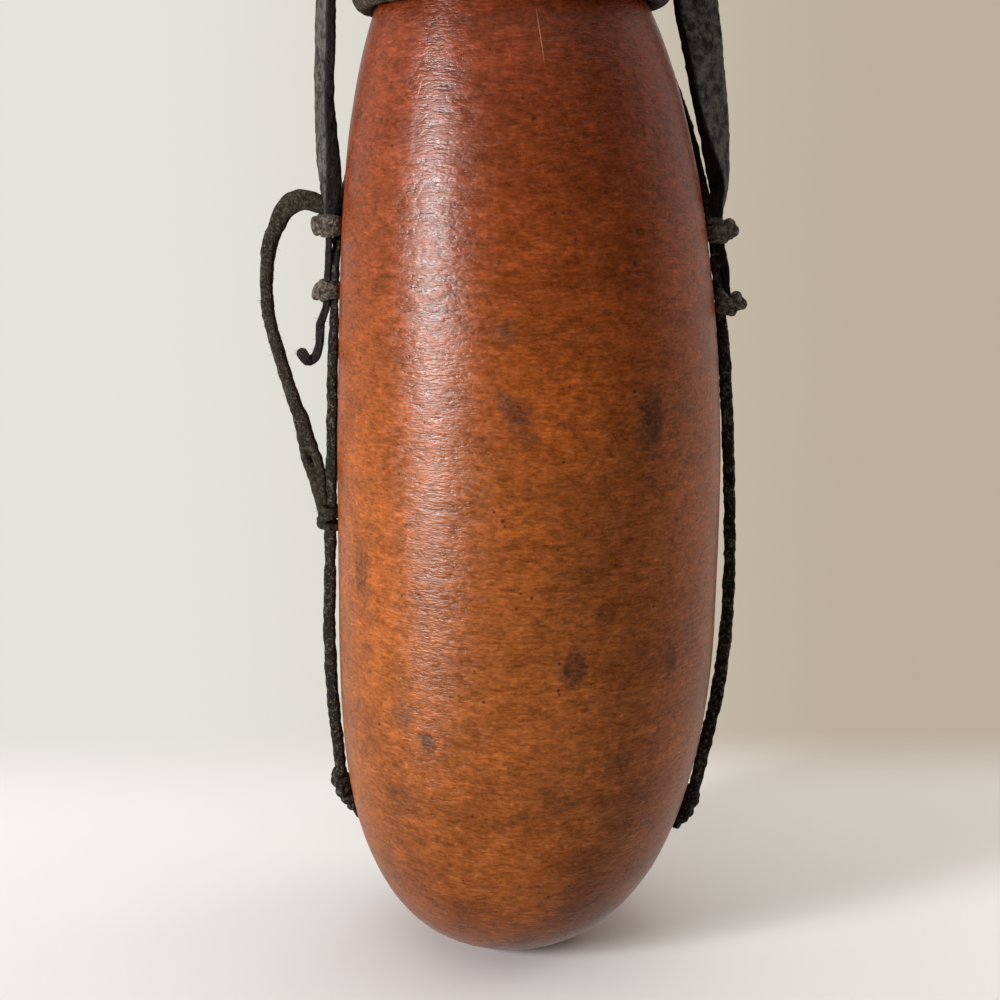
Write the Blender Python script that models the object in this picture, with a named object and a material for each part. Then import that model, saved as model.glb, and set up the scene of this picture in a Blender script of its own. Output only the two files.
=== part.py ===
# A drinking gourd: one long bottle gourd, cut open at the neck, in a harness of leather thongs.
# Two thongs rise from a sling under the back to a ring on the shoulder, and a flat strap is
# tied to them for carrying. Metres, +Z up. The gourd stands at the origin on its own small
# flat spot, and -Y is the front.

import math

import bmesh
import bpy
import numpy as np
from mathutils import Matrix, Vector

MM = 0.001
CLEARANCE = 0.35 * MM              # left between any two pieces that touch

# The gourd's skin, turned about an axis that bows sideways
BELLY_RADIUS = 58.7 * MM
BELLY_HEIGHT = 120.5 * MM
NOSE_BELOW_FLOOR = 2.3 * MM        # the rounded end would reach this far down without the flat spot
LOW_ROUND, LOW_FULL = 2.87, 2.52   # exponents of the lower end
SHOULDER_RISE = 190.9 * MM
TOP_ROUND, TOP_FULL = 2.46, 3.06   # exponents of the shoulder
NECK_RADIUS = 23.0 * MM
NECK_BLEND = 7.0 * MM
LIP_FLARE = 1.2 * MM
MOUTH_HEIGHT = 336.0 * MM
WALL = 4.6 * MM
LIP_ROUND = 1.5 * MM
BOW = 5.93 * MM                    # sideways reach of the bowed axis
BOW_LENGTH = 300.0 * MM
GOURD_SIDES = 48

# The leather ring on the shoulder
RING_HEIGHT = 290.4 * MM
RING_RADIUS = 42.5 * MM            # to the middle of its section
RING_HALF_WIDE, RING_HALF_TALL = 3.6 * MM, 4.1 * MM
RING_TILT = math.radians(-1.0)     # a little higher at +X
RING_STEPS, RING_WRAPS = 80, 40
RING_SIDES = 10

# The side thongs, from the foot knots to the ring. Each row: height, angle round to the back
# in degrees, gap between skin and thong, thong radius
LEFT_THONG = [(52.0, 0, 1.3, 1.6), (62, 0, 1.0, 1.8), (76, 0, 1.1, 1.9), (98, 0, 1.4, 1.85),
              (122, 0, 1.2, 1.8), (140, 0, 0.8, 1.75), (164, 0, 0.5, 1.7), (186, 0, 0.4, 1.5),
              (200, 0, 0.4, 1.25), (214, 0, 0.4, 1.2), (230, 2, 0.4, 1.2), (245, 11, 0.4, 1.1),
              (262, 16, 0.4, 1.1), (276, 18, 0.4, 1.1), (283.8, 19, 0.5, 1.1)]
RIGHT_THONG = [(43.5, 0, 2.6, 1.7), (54, 0, 1.7, 1.85), (66, 0, 1.5, 1.9), (82, 0, 2.2, 2.0),
               (100, 0, 2.7, 1.9), (118, 0, 2.7, 1.8), (140, 0, 1.9, 1.75), (164, 0, 1.1, 1.8),
               (186, 0, 0.9, 1.8), (198, 0, 0.9, 1.6), (207, 0, 1.0, 1.3), (216, 0, 1.0, 1.2),
               (230, 0, 0.8, 1.2), (243, 3, 0.5, 1.1), (256, 7, 0.4, 1.1), (268, 12, 0.4, 1.1),
               (279, 17, 0.4, 1.1), (285.4, 19, 0.5, 1.1)]

# The sling round the lower back, from foot knot to foot knot. Each row: angle from +X round
# to the back in degrees, height
SLING = [(180, 48.5), (178, 43), (172, 36), (158, 29), (135, 20.5), (110, 15), (90, 13.5),
         (70, 14.5), (45, 19), (22, 26), (8, 32), (2, 36.5), (0, 40.2)]
SLING_HALF_WIDE, SLING_HALF_THICK = 3.0 * MM, 1.3 * MM
SLING_END_HALF_WIDE = 1.8 * MM

# The carrying strap. Its narrow tails run down through the knots beside the side thongs, and the
# left one ends in a curl. Each row of a leg: height, place in X, half breadth, half thickness,
# turn in degrees. A turn of 0 has the strap's breadth along Y, and 90 along X.
TAIL_HALF_WIDE, TAIL_HALF_THICK = 1.5 * MM, 0.75 * MM
CURL_HALF_WIDE, CURL_HALF_THICK = 1.5 * MM, 1.0 * MM
LEFT_TAIL_HEIGHTS = (201, 206, 212, 219, 225, 231, 236)
RIGHT_TAIL_HEIGHTS = (232, 225, 219, 212, 206, 200, 196)
STRAP_HALF_WIDE, STRAP_HALF_THICK = 7.1 * MM, 1.75 * MM
ARCH_HALF_SPAN = 52.0 * MM
ARCH_SPRING = 306.0 * MM
ARCH_TOP = 402.0 * MM
ARCH_LEFT_TURN, ARCH_RIGHT_TURN = 8, 20
LEFT_CURL = [(-62.8, -2.2, 187.4), (-61.3, -1.8, 184.9), (-58.8, -1.2, 185.4),
             (-57.5, -0.5, 189.6), (-57.2, 0.0, 195.0)]
LEFT_LEG = [(242.0, -54.4, 4.4, 1.6, 16), (250, -54.6, 5.8, 1.75, 15), (262, -54.5, 6.6, 1.75, 12),
            (275, -54.0, 7.0, 1.75, 11), (288, -53.4, 7.1, 1.75, 10.5)]
RIGHT_LEG = [(238.5, 61.9, 2.4, 1.3, 20), (244, 61.6, 4.4, 1.6, 16), (250, 60.9, 6.0, 1.75, 19),
             (261, 59.0, 6.9, 1.75, 28), (271, 57.3, 7.1, 1.75, 36), (280, 55.8, 7.1, 1.75, 45),
             (288, 54.3, 7.1, 1.75, 54), (297, 53.4, 7.1, 1.75, 42)]

# Knots: side (1 at +X), height, outward shift from the strands, half sizes across, deep and tall
KNOTS = {
    "left_knot_upper": (-1, 224.3, 1.9, 4.7, 4.2, 4.2),
    "left_knot_lower": (-1, 205.8, 1.5, 4.4, 4.2, 4.1),
    "right_knot_upper": (1, 223.2, 2.0, 4.8, 4.2, 4.4),
    "right_knot_lower": (1, 202.5, 2.0, 4.7, 4.2, 3.9),
}
FOOT_KNOTS = {
    "left_foot_knot": (-1, 50.2, 0.9, 3.6, 3.6, 4.6),
    "right_foot_knot": (1, 41.8, 0.9, 3.7, 3.7, 4.6),
}
FOOT_KNOT_SKIN = 1.9 * MM          # from the skin to the middle of a foot knot's strands
STRAND_REACH = 12 * MM             # how far past a knot its strands are cut clear

# The thong loop that hangs from the upper left knot: X and height
LOOP = [(-58.2, 231.2), (-60.2, 234.0), (-63.6, 234.8), (-67.0, 231.6), (-69.6, 225.6), (-71.6, 219.0),
        (-72.9, 211.0), (-73.0, 203.0), (-71.9, 194.4), (-70.0, 187.0), (-68.0, 179.6), (-66.0, 172.2),
        (-64.4, 165.0), (-62.8, 157.6), (-61.2, 150.0), (-59.9, 143.0), (-59.3, 136.0)]
LOOP_RADIUS = 1.85 * MM


def material(name, colour, roughness):
    made = bpy.data.materials.new(name)
    made.use_nodes = True
    shader = made.node_tree.nodes["Principled BSDF"]
    shader.inputs["Base Color"].default_value = (*colour, 1.0)
    shader.inputs["Roughness"].default_value = roughness
    shader.inputs["Metallic"].default_value = 0.0
    return made


def new_object(name, bm, finish):
    """Close a bmesh into an object with smooth shading over its gentle edges."""
    bmesh.ops.remove_doubles(bm, verts=bm.verts, dist=0.00001)
    bmesh.ops.recalc_face_normals(bm, faces=bm.faces)
    mesh = bpy.data.meshes.new(name)
    bm.to_mesh(mesh)
    bm.free()
    mesh.materials.append(finish)
    mesh.shade_smooth()
    mesh.set_sharp_from_angle(angle=math.radians(40))
    made = bpy.data.objects.new(name, mesh)
    bpy.context.scene.collection.objects.link(made)
    return made


def soft_max(a, b, blend):
    return (a + b + math.sqrt((a - b) ** 2 + blend ** 2)) / 2


def skin_radius(z):
    """Outer radius of the gourd at a height."""
    if z < BELLY_HEIGHT:
        drop = (BELLY_HEIGHT - z) / (BELLY_HEIGHT + NOSE_BELOW_FLOOR)
        return BELLY_RADIUS * (1 - min(drop, 1.0) ** LOW_ROUND) ** (1 / LOW_FULL)
    shoulder = BELLY_RADIUS - NECK_BLEND ** 2 / (4 * (BELLY_RADIUS - NECK_RADIUS))
    rise = min((z - BELLY_HEIGHT) / SHOULDER_RISE, 1.0)
    neck_top = BELLY_HEIGHT + SHOULDER_RISE
    flare = LIP_FLARE * max(0.0, (z - neck_top) / (MOUTH_HEIGHT - neck_top)) ** 2
    return soft_max(shoulder * (1 - rise ** TOP_ROUND) ** (1 / TOP_FULL), NECK_RADIUS + flare, NECK_BLEND)


def bow(z):
    """Sideways place of the gourd's axis at a height."""
    return BOW * math.sin(math.pi * (z + NOSE_BELOW_FLOOR) / BOW_LENGTH)


def skin_normal(z):
    """Outward direction of the skin in the plane of radius and height."""
    step = 0.2 * MM
    slope = (skin_radius(z + step) - skin_radius(max(z - step, 0))) / (step + min(step, z))
    return Vector((1.0, -slope)).normalized()


def on_skin(angle, z, off):
    """Point at an angle from +X round to the back, off the skin by a distance."""
    normal = skin_normal(z)
    radius = skin_radius(z) + normal.x * off
    turn = math.radians(angle)
    return Vector((bow(z) + radius * math.cos(turn), radius * math.sin(turn), z + normal.y * off))


def smooth_rows(rows, step):
    """Catmull-Rom through rows of numbers, of which the first three are the place."""
    rows = np.array(rows, dtype=float)
    padded = np.vstack([2 * rows[0] - rows[1], rows, 2 * rows[-1] - rows[-2]])
    out = []
    for i in range(1, len(padded) - 2):
        p0, p1, p2, p3 = padded[i - 1:i + 3]
        span = np.linalg.norm((p2 - p1)[:3])
        count = max(1, round(span / step))
        for k in range(count):
            t = k / count
            out.append(0.5 * (2 * p1 + (p2 - p0) * t + (2 * p0 - 5 * p1 + 4 * p2 - p3) * t ** 2
                              + (3 * p1 - p0 - 3 * p2 + p3) * t ** 3))
    out.append(padded[-2])
    return out


def sweep(name, stations, finish, sides=8, grow=0.0):
    """Closed band along stations of (place, breadth direction, half breadth, half thickness)."""
    bm = bmesh.new()
    rings = []
    for i, (place, breadth, half_wide, half_thick) in enumerate(stations):
        ahead = stations[min(i + 1, len(stations) - 1)][0]
        behind = stations[max(i - 1, 0)][0]
        along = (ahead - behind).normalized()
        across = (breadth - along * breadth.dot(along)).normalized()
        through = along.cross(across)
        ring = []
        for k in range(sides):
            turn = 2 * math.pi * (k + 0.5) / sides
            ring.append(bm.verts.new(place + across * (half_wide + grow) * math.cos(turn)
                                     + through * (half_thick + grow) * math.sin(turn)))
        rings.append(ring)
    for low, high in zip(rings, rings[1:]):
        for k in range(sides):
            bm.faces.new((low[k], low[(k + 1) % sides], high[(k + 1) % sides], high[k]))
    bm.faces.new(rings[0])
    bm.faces.new(rings[-1])
    return new_object(name, bm, finish)


def arc(centre, radius, start, end, count):
    """Points of an arc in the plane of radius and height, by angles in degrees."""
    turns = [math.radians(start + (end - start) * k / (count - 1)) for k in range(count)]
    return [(centre[0] + radius * math.cos(t), centre[1] + radius * math.sin(t)) for t in turns]


def outer_outline(grow=0.0):
    """The skin from the edge of the flat spot to the foot of the lip's rounding."""
    heights = [BELLY_HEIGHT * (1 - math.cos(math.pi / 2 * k / 13)) for k in range(13)]
    heights += [BELLY_HEIGHT + 34 * MM * k for k in range(4)]
    heights += [h * MM for h in (249, 262, 274, 284, 292, 298, 303, 307, 311, 316, 323)]
    heights.append(MOUTH_HEIGHT - LIP_ROUND)
    return [(skin_radius(z) + grow, z) for z in heights]


def inner_outline():
    """The hollow, one wall's thickness in from the skin, from the mouth down to the floor."""
    heights = [h * MM for h in (323, 312, 307, 302, 294, 280, 262, 235, 200, 165, 125, 90, 60, 38, 22, 13, 7)]
    points = []
    for z in heights:
        normal = skin_normal(z)
        points.append((skin_radius(z) - normal.x * WALL, z - normal.y * WALL))
    return points


def turned(name, outline, finish, sides):
    """Spin an outline that starts and ends on the axis, then bow it sideways."""
    bm = bmesh.new()
    verts = [bm.verts.new((r, 0, z)) for r, z in outline]
    edges = [bm.edges.new(pair) for pair in zip(verts, verts[1:])]
    bmesh.ops.spin(bm, geom=verts + edges, cent=(0, 0, 0), axis=(0, 0, 1), angle=2 * math.pi,
                   steps=sides, use_duplicate=False)
    bmesh.ops.remove_doubles(bm, verts=bm.verts, dist=0.00001)
    for vert in bm.verts:
        vert.co.x += bow(vert.co.z)
    return new_object(name, bm, finish)


def make_gourd(finish):
    outer = outer_outline()
    inner = inner_outline()
    top = MOUTH_HEIGHT - LIP_ROUND
    outer_edge, inner_edge = outer[-1][0], inner[0][0]
    lip = arc((outer_edge - LIP_ROUND, top), LIP_ROUND, 20, 90, 3)
    lip += arc((inner_edge + LIP_ROUND, top), LIP_ROUND, 90, 180, 3)
    floor = inner[-1][1]
    return turned("gourd_body", [(0, 0)] + outer + lip + inner + [(0, floor)], finish, GOURD_SIDES)


def skin_clearance():
    """A solid gourd a little larger than the real one, which cuts the knots clear of it."""
    outline = outer_outline(CLEARANCE)
    solid = turned("skin_clearance", [(0, 0)] + outline + [(0, outline[-1][1])], None, GOURD_SIDES)
    solid.hide_render = True
    solid.display_type = "WIRE"
    return solid


def make_ring(finish):
    """Rolled leather ring whose lacing stands up as low ribs."""
    bm = bmesh.new()
    section = []
    for k in range(RING_SIDES):
        turn = 2 * math.pi * k / RING_SIDES
        section.append(bm.verts.new((RING_RADIUS + RING_HALF_WIDE * math.cos(turn), 0,
                                     RING_HALF_TALL * math.sin(turn))))
    edges = [bm.edges.new((section[k], section[(k + 1) % RING_SIDES])) for k in range(RING_SIDES)]
    bmesh.ops.spin(bm, geom=section + edges, cent=(0, 0, 0), axis=(0, 0, 1), angle=2 * math.pi,
                   steps=RING_STEPS, use_duplicate=False)
    bmesh.ops.remove_doubles(bm, verts=bm.verts, dist=0.00001)
    for vert in bm.verts:
        angle = math.atan2(vert.co.y, vert.co.x)
        middle = Vector((RING_RADIUS * math.cos(angle), RING_RADIUS * math.sin(angle), 0))
        dip = 0.06 * (1 - math.cos(RING_WRAPS * angle)) / 2
        vert.co = middle + (vert.co - middle) * (1 - dip)
    bmesh.ops.transform(bm, matrix=Matrix.Rotation(RING_TILT, 4, "Y"), verts=bm.verts)
    bmesh.ops.translate(bm, vec=(bow(RING_HEIGHT), 0, RING_HEIGHT), verts=bm.verts)
    return new_object("neck_ring", bm, finish)


def thong_stations(side, rows):
    """Stations of a side thong; side is 1 at +X and -1 at -X."""
    control = []
    for height, back, gap, radius in rows:
        angle = back if side > 0 else 180 - back
        place = on_skin(angle, height * MM, (gap + radius) * MM)
        control.append((*place, radius * MM))
    return [(Vector(row[:3]), Vector((0, 1, 0)), row[3], row[3]) for row in smooth_rows(control, 5 * MM)]


def sling_stations():
    control = []
    for k, (angle, height) in enumerate(SLING):
        at_end = k in (0, len(SLING) - 1)
        wide = SLING_END_HALF_WIDE if at_end else SLING_HALF_WIDE
        off = FOOT_KNOT_SKIN if at_end else SLING_HALF_THICK + 1.3 * CLEARANCE
        place = on_skin(angle, height * MM, off)
        facing = on_skin(angle, height * MM, off + MM) - place
        control.append((*place, *facing, wide))
    stations = []
    rows = smooth_rows(control, 5 * MM)
    for i, row in enumerate(rows):
        along = Vector(rows[min(i + 1, len(rows) - 1)][:3]) - Vector(rows[max(i - 1, 0)][:3])
        stations.append((Vector(row[:3]), along.cross(Vector(row[3:6])), row[6], SLING_HALF_THICK))
    return stations


def tail_place(thong, height):
    """Place of the strap's tail, just outside the side thong at a height."""
    near = min(thong, key=lambda station: abs(station[0].z - height))
    side = 1 if near[0].x > 0 else -1
    off = near[3] + CLEARANCE + TAIL_HALF_THICK
    return near[0].x + side * off


def strap_stations(left_thong, right_thong):
    """The whole strap: the left tail and leg, the arch over the mouth, the right leg and tail."""
    curl = (CURL_HALF_WIDE, CURL_HALF_THICK, 0)
    tail = (TAIL_HALF_WIDE, TAIL_HALF_THICK, 0)
    control = [(x * MM, y * MM, z * MM, *curl) for x, y, z in LEFT_CURL]
    for height in LEFT_TAIL_HEIGHTS:
        control.append((tail_place(left_thong, height * MM), 0, height * MM, *tail))
    for height, x, wide, thick, turn in LEFT_LEG:
        control.append((x * MM, 0, height * MM, wide * MM, thick * MM, turn))
    rise = ARCH_TOP - ARCH_SPRING
    for degrees in range(0, 181, 15):
        turn = math.radians(180 - degrees)
        twist = ARCH_LEFT_TURN if degrees < 30 else max(0, ARCH_RIGHT_TURN * (degrees - 150) / 30)
        control.append((ARCH_HALF_SPAN * math.cos(turn), 0, ARCH_SPRING + rise * math.sin(turn),
                        STRAP_HALF_WIDE, STRAP_HALF_THICK, twist))
    for height, x, wide, thick, turn in reversed(RIGHT_LEG):
        control.append((x * MM, 0, height * MM, wide * MM, thick * MM, turn))
    for height in RIGHT_TAIL_HEIGHTS:
        control.append((tail_place(right_thong, height * MM), 0, height * MM, *tail))
    stations = []
    rows = smooth_rows(control, 6 * MM)
    for i, row in enumerate(rows):
        along = Vector(rows[min(i + 1, len(rows) - 1)][:3]) - Vector(rows[max(i - 1, 0)][:3])
        breadth = Matrix.Rotation(math.radians(row[5]), 3, along.normalized()) @ Vector((0, 1, 0))
        stations.append((Vector(row[:3]), breadth, row[3], row[4]))
    return stations


def make_knot(name, centre, half_sizes, strands, skin, finish):
    """A wrapped knot: a rounded lump, cut clear of the strands that it binds and of the skin."""
    bm = bmesh.new()
    bmesh.ops.create_uvsphere(bm, u_segments=14, v_segments=9, radius=1.0)
    bmesh.ops.scale(bm, vec=half_sizes, verts=bm.verts)
    bmesh.ops.translate(bm, vec=centre, verts=bm.verts)
    knot = new_object(name, bm, finish)
    for cutter in strands + [skin]:
        cut = knot.modifiers.new("clear_of_" + cutter.name, "BOOLEAN")
        cut.operation = "DIFFERENCE"
        cut.solver = "EXACT"
        cut.object = cutter
    return knot


def clearance_copy(name, stations, low, high):
    """A slightly fatter copy of the part of a strand between two heights."""
    near = [station for station in stations if low < station[0].z < high]
    copy = sweep(name, near, None, grow=CLEARANCE)
    copy.hide_render = True
    copy.display_type = "WIRE"
    return copy


def make_loop(finish):
    """The free loop of thong, as a tube along its own curve."""
    control = [(x * MM, 0.0, z * MM) for x, z in LOOP]
    points = smooth_rows(control, 4.2 * MM)
    curve = bpy.data.curves.new("left_loop", "CURVE")
    curve.dimensions = "3D"
    curve.bevel_depth = LOOP_RADIUS
    curve.bevel_resolution = 2
    curve.use_fill_caps = True
    spline = curve.splines.new("POLY")
    spline.points.add(len(points) - 1)
    for point, place in zip(spline.points, points):
        point.co = (*place, 1.0)
    curve.materials.append(finish)
    loop = bpy.data.objects.new("left_loop", curve)
    bpy.context.scene.collection.objects.link(loop)
    return loop


def main():
    for old in list(bpy.data.objects):
        bpy.data.objects.remove(old, do_unlink=True)
    shell = material("gourd_shell", (0.33, 0.085, 0.022), 0.32)
    thong_hide = material("thong_hide", (0.022, 0.016, 0.012), 0.75)
    strap_hide = material("strap_hide", (0.035, 0.029, 0.025), 0.7)
    ring_hide = material("ring_hide", (0.03, 0.024, 0.02), 0.78)
    make_gourd(shell)
    make_ring(ring_hide)
    thongs = {-1: thong_stations(-1, LEFT_THONG), 1: thong_stations(1, RIGHT_THONG)}
    sweep("left_side_thong", thongs[-1], thong_hide)
    sweep("right_side_thong", thongs[1], thong_hide)
    sling = sling_stations()
    sweep("base_sling", sling, thong_hide)
    strap = strap_stations(thongs[-1], thongs[1])
    sweep("carry_strap", strap, strap_hide, sides=10)
    make_loop(thong_hide)
    skin = skin_clearance()
    for name, (side, height, shift, across, deep, tall) in KNOTS.items():
        middle = tail_place(thongs[side], height * MM) - side * (TAIL_HALF_THICK + CLEARANCE)
        low, high = height * MM - STRAND_REACH, height * MM + STRAND_REACH
        own_side = [station for station in strap if station[0].x * side > 0]
        strands = [clearance_copy(name + "_thong", thongs[side], low, high),
                   clearance_copy(name + "_tail", own_side, low, high)]
        centre = Vector((middle + side * shift * MM, 0, height * MM))
        make_knot(name, centre, Vector((across, deep, tall)) * MM, strands, skin, thong_hide)
    for name, (side, height, shift, across, deep, tall) in FOOT_KNOTS.items():
        middle = on_skin(90 - 90 * side, height * MM, FOOT_KNOT_SKIN + shift * MM)
        own_side = [station for station in sling if station[0].x * side > BELLY_RADIUS / 2]
        strands = [clearance_copy(name + "_thong", thongs[side], 0, height * MM + STRAND_REACH),
                   clearance_copy(name + "_sling", own_side, 0, MOUTH_HEIGHT)]
        make_knot(name, middle, Vector((across, deep, tall)) * MM, strands, skin, thong_hide)


main()
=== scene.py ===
import math

import bmesh
import bpy
import numpy as np
from mathutils import Matrix, Vector, noise


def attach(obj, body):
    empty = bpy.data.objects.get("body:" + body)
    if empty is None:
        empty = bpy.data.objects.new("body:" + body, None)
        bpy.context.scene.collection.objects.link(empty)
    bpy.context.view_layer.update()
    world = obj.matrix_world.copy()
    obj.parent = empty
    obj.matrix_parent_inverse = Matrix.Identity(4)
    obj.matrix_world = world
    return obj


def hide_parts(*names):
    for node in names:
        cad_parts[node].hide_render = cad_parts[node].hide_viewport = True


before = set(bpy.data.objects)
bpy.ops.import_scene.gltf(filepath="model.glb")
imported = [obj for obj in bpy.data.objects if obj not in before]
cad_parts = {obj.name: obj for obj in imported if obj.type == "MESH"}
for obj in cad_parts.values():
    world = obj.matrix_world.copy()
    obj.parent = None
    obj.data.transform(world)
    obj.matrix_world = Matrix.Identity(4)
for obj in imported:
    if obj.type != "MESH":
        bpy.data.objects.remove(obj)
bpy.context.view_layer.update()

# A long bottle gourd in a leather harness, upright on a pale floor.
# Metres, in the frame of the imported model; mm turns millimetres into metres.
mm = 0.001


def linear(hexColour):  # sRGB hex to linear, with alpha 1
    channels = [int(hexColour[i:i + 2], 16) / 255 for i in (1, 3, 5)]
    return [c / 12.92 if c <= 0.04045 else ((c + 0.055) / 1.055) ** 2.4 for c in channels] + [1.0]


def addNode(tree, kind, links=None, values=None, **settings):
    node = tree.nodes.new(kind)
    for name, value in settings.items():
        setattr(node, name, value)
    for socket, value in (values or {}).items():
        node.inputs[socket].default_value = value
    for socket, source in (links or {}).items():
        tree.links.new(source, node.inputs[socket])
    return node.outputs[0]


def setStops(ramp, stops):  # colour stops of a Color Ramp node, as (place, hex)
    elements = ramp.elements
    while len(elements) < len(stops):
        elements.new(0.5)
    for element, (place, hexColour) in zip(elements, stops):
        element.position = place
        element.color = linear(hexColour)


def clearSelection():
    if bpy.context.object and bpy.context.object.mode != "OBJECT":
        bpy.ops.object.mode_set(mode="OBJECT")
    bpy.ops.object.select_all(action="DESELECT")


def pick(piece):
    clearSelection()
    piece.select_set(True)
    bpy.context.view_layer.objects.active = piece
    return piece


def applyModifier(piece, kind, **settings):
    pick(piece)
    modifier = piece.modifiers.new(kind.lower(), kind)
    for name, value in settings.items():
        setattr(modifier, name, value)
    bpy.ops.object.modifier_apply(modifier=modifier.name)


def settle(piece, name, finishes, replaced=()):  # the last step of every piece
    pick(piece)
    bpy.ops.object.transform_apply(location=True, rotation=True, scale=True)
    piece.name = name
    piece.data.name = name
    piece.data.materials.clear()
    for finish in finishes:
        piece.data.materials.append(finish)
    bpy.ops.object.shade_smooth()
    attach(piece, "root")
    if replaced:
        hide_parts(*replaced)
    return piece


# The gourd's form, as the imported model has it
gourd = {
    "bellyRadius": 58.7 * mm, "bellyHeight": 120.5 * mm, "noseBelow": 2.3 * mm,
    "lowRound": 2.87, "lowFull": 2.52,
    "shoulderRise": 190.9 * mm, "topRound": 2.46, "topFull": 3.06,
    "neckRadius": 23.0 * mm, "neckBlend": 7.0 * mm, "lipFlare": 1.2 * mm,
    "mouthHeight": 336.0 * mm, "wall": 4.6 * mm, "lipRound": 1.5 * mm,
    "bow": 5.93 * mm, "bowLength": 300.0 * mm,
    "sides": 128, "outerStep": 2.9 * mm, "outerSteps": 57, "lowSteps": 44, "neckStep": 2.2 * mm,
    "innerHeights": (332, 326, 320, 315, 311, 307, 303, 299, 294, 288, 280, 270, 258, 244, 228, 210, 190,
                     168, 144, 120, 96, 74, 55, 40, 28, 19, 12.5, 8.5, 7),  # mm, down to the floor inside
    "lumps": ((38.0, 0.30), (13.0, 0.10), (5.0, 0.035)),  # size and height of its unevenness, mm
    "flatSpot": 1.5 * mm, "flatBlend": 6.0 * mm,   # no unevenness below, and where it is full
}


def softMax(a, b, blend):
    return (a + b + math.sqrt((a - b) ** 2 + blend ** 2)) / 2


def skinRadius(z):
    g = gourd
    if z < g["bellyHeight"]:
        drop = min((g["bellyHeight"] - z) / (g["bellyHeight"] + g["noseBelow"]), 1.0)
        return g["bellyRadius"] * (1 - drop ** g["lowRound"]) ** (1 / g["lowFull"])
    shoulder = g["bellyRadius"] - g["neckBlend"] ** 2 / (4 * (g["bellyRadius"] - g["neckRadius"]))
    rise = min((z - g["bellyHeight"]) / g["shoulderRise"], 1.0)
    neckTop = g["bellyHeight"] + g["shoulderRise"]
    flare = g["lipFlare"] * max(0.0, (z - neckTop) / (g["mouthHeight"] - neckTop)) ** 2
    body = shoulder * (1 - rise ** g["topRound"]) ** (1 / g["topFull"])
    return softMax(body, g["neckRadius"] + flare, g["neckBlend"])


def bow(z):
    return gourd["bow"] * math.sin(math.pi * (z + gourd["noseBelow"]) / gourd["bowLength"])


def skinNormal(z):
    step = 0.2 * mm
    slope = (skinRadius(z + step) - skinRadius(max(z - step, 0))) / (step + min(step, z))
    return Vector((1.0, -slope)).normalized()


def onSkin(angle, z, off):  # angle in degrees from +X round to the back
    normal = skinNormal(z)
    radius = skinRadius(z) + normal.x * off
    turn = math.radians(angle)
    return Vector((bow(z) + radius * math.cos(turn), radius * math.sin(turn), z + normal.y * off))


def smoothRows(rows, step):  # a smooth curve through rows whose first three numbers are the place
    rows = np.array(rows, dtype=float)
    padded = np.vstack([2 * rows[0] - rows[1], rows, 2 * rows[-1] - rows[-2]])
    out = []
    for i in range(1, len(padded) - 2):
        p0, p1, p2, p3 = padded[i - 1:i + 3]
        count = max(1, round(np.linalg.norm((p2 - p1)[:3]) / step))
        for k in range(count):
            t = k / count
            out.append(0.5 * (2 * p1 + (p2 - p0) * t + (2 * p0 - 5 * p1 + 4 * p2 - p3) * t ** 2
                              + (3 * p1 - p0 - 3 * p2 + p3) * t ** 3))
    out.append(padded[-2])
    return out


def ripple(place, grain, seed=0.0):  # smooth unevenness from -1 to 1
    return noise.noise(Vector((place[0] / grain + seed, place[1] / grain - seed, place[2] / grain)))


def longTube(sides, rings):  # a closed tube of unit rings one metre apart, to be placed ring by ring
    clearSelection()
    bpy.ops.mesh.primitive_circle_add(vertices=sides, radius=1.0, fill_type="NOTHING", location=(0, 0, 0))
    bpy.ops.object.mode_set(mode="EDIT")
    bpy.ops.mesh.select_all(action="SELECT")
    bpy.ops.mesh.extrude_region_move(TRANSFORM_OT_translate={"value": (0, 0, 1)})
    bpy.ops.object.mode_set(mode="OBJECT")
    tube = bpy.context.object
    applyModifier(tube, "ARRAY", count=rings - 1, use_relative_offset=False, use_constant_offset=True,
                  constant_offset_displace=(0, 0, 1), use_merge_vertices=True, merge_threshold=0.01)
    bpy.ops.object.mode_set(mode="EDIT")
    bpy.ops.mesh.select_all(action="SELECT")
    bpy.ops.mesh.fill_holes(sides=0)
    bpy.ops.object.mode_set(mode="OBJECT")
    return tube


def faceOutward(piece):
    pick(piece)
    bpy.ops.object.mode_set(mode="EDIT")
    bpy.ops.mesh.select_all(action="SELECT")
    bpy.ops.mesh.normals_make_consistent(inside=False)
    bpy.ops.object.mode_set(mode="OBJECT")


# A thong or strap: stations are (place, breadth direction, half breadth, half thickness)
def sweptHide(stations, sides, squareness, rough, seed):
    tube = longTube(sides, len(stations))
    across = tube.data.attributes.new("across", "FLOAT", "POINT")
    frames = []
    for i, (place, breadth, wide, thick) in enumerate(stations):
        along = (stations[min(i + 1, len(stations) - 1)][0] - stations[max(i - 1, 0)][0]).normalized()
        side = (breadth - along * breadth.dot(along)).normalized()
        frames.append((place, side, along.cross(side), wide, thick))
    for vert in tube.data.vertices:
        place, side, out, wide, thick = frames[round(vert.co.z)]
        turn = math.atan2(vert.co.y, vert.co.x)
        c, s = math.cos(turn), math.sin(turn)
        reach = (abs(c) ** squareness + abs(s) ** squareness) ** (-1 / squareness)
        spot = place + side * wide * c * reach + out * thick * s * reach
        push = (side * c + out * s).normalized()
        lift = sum(height * mm * ripple(spot, size * mm, seed + size) for size, height in rough)
        across.data[vert.index].value = c * reach
        vert.co = spot + push * lift
    faceOutward(tube)
    return tube


# Camera: a phone's view from the front, a little above the middle, looking down 11.7 degrees
view = {"place": (-2.92 * mm, -455.0 * mm, 235.7 * mm), "down": 11.73, "lens": 54.0, "sensor": 36.0}


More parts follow.
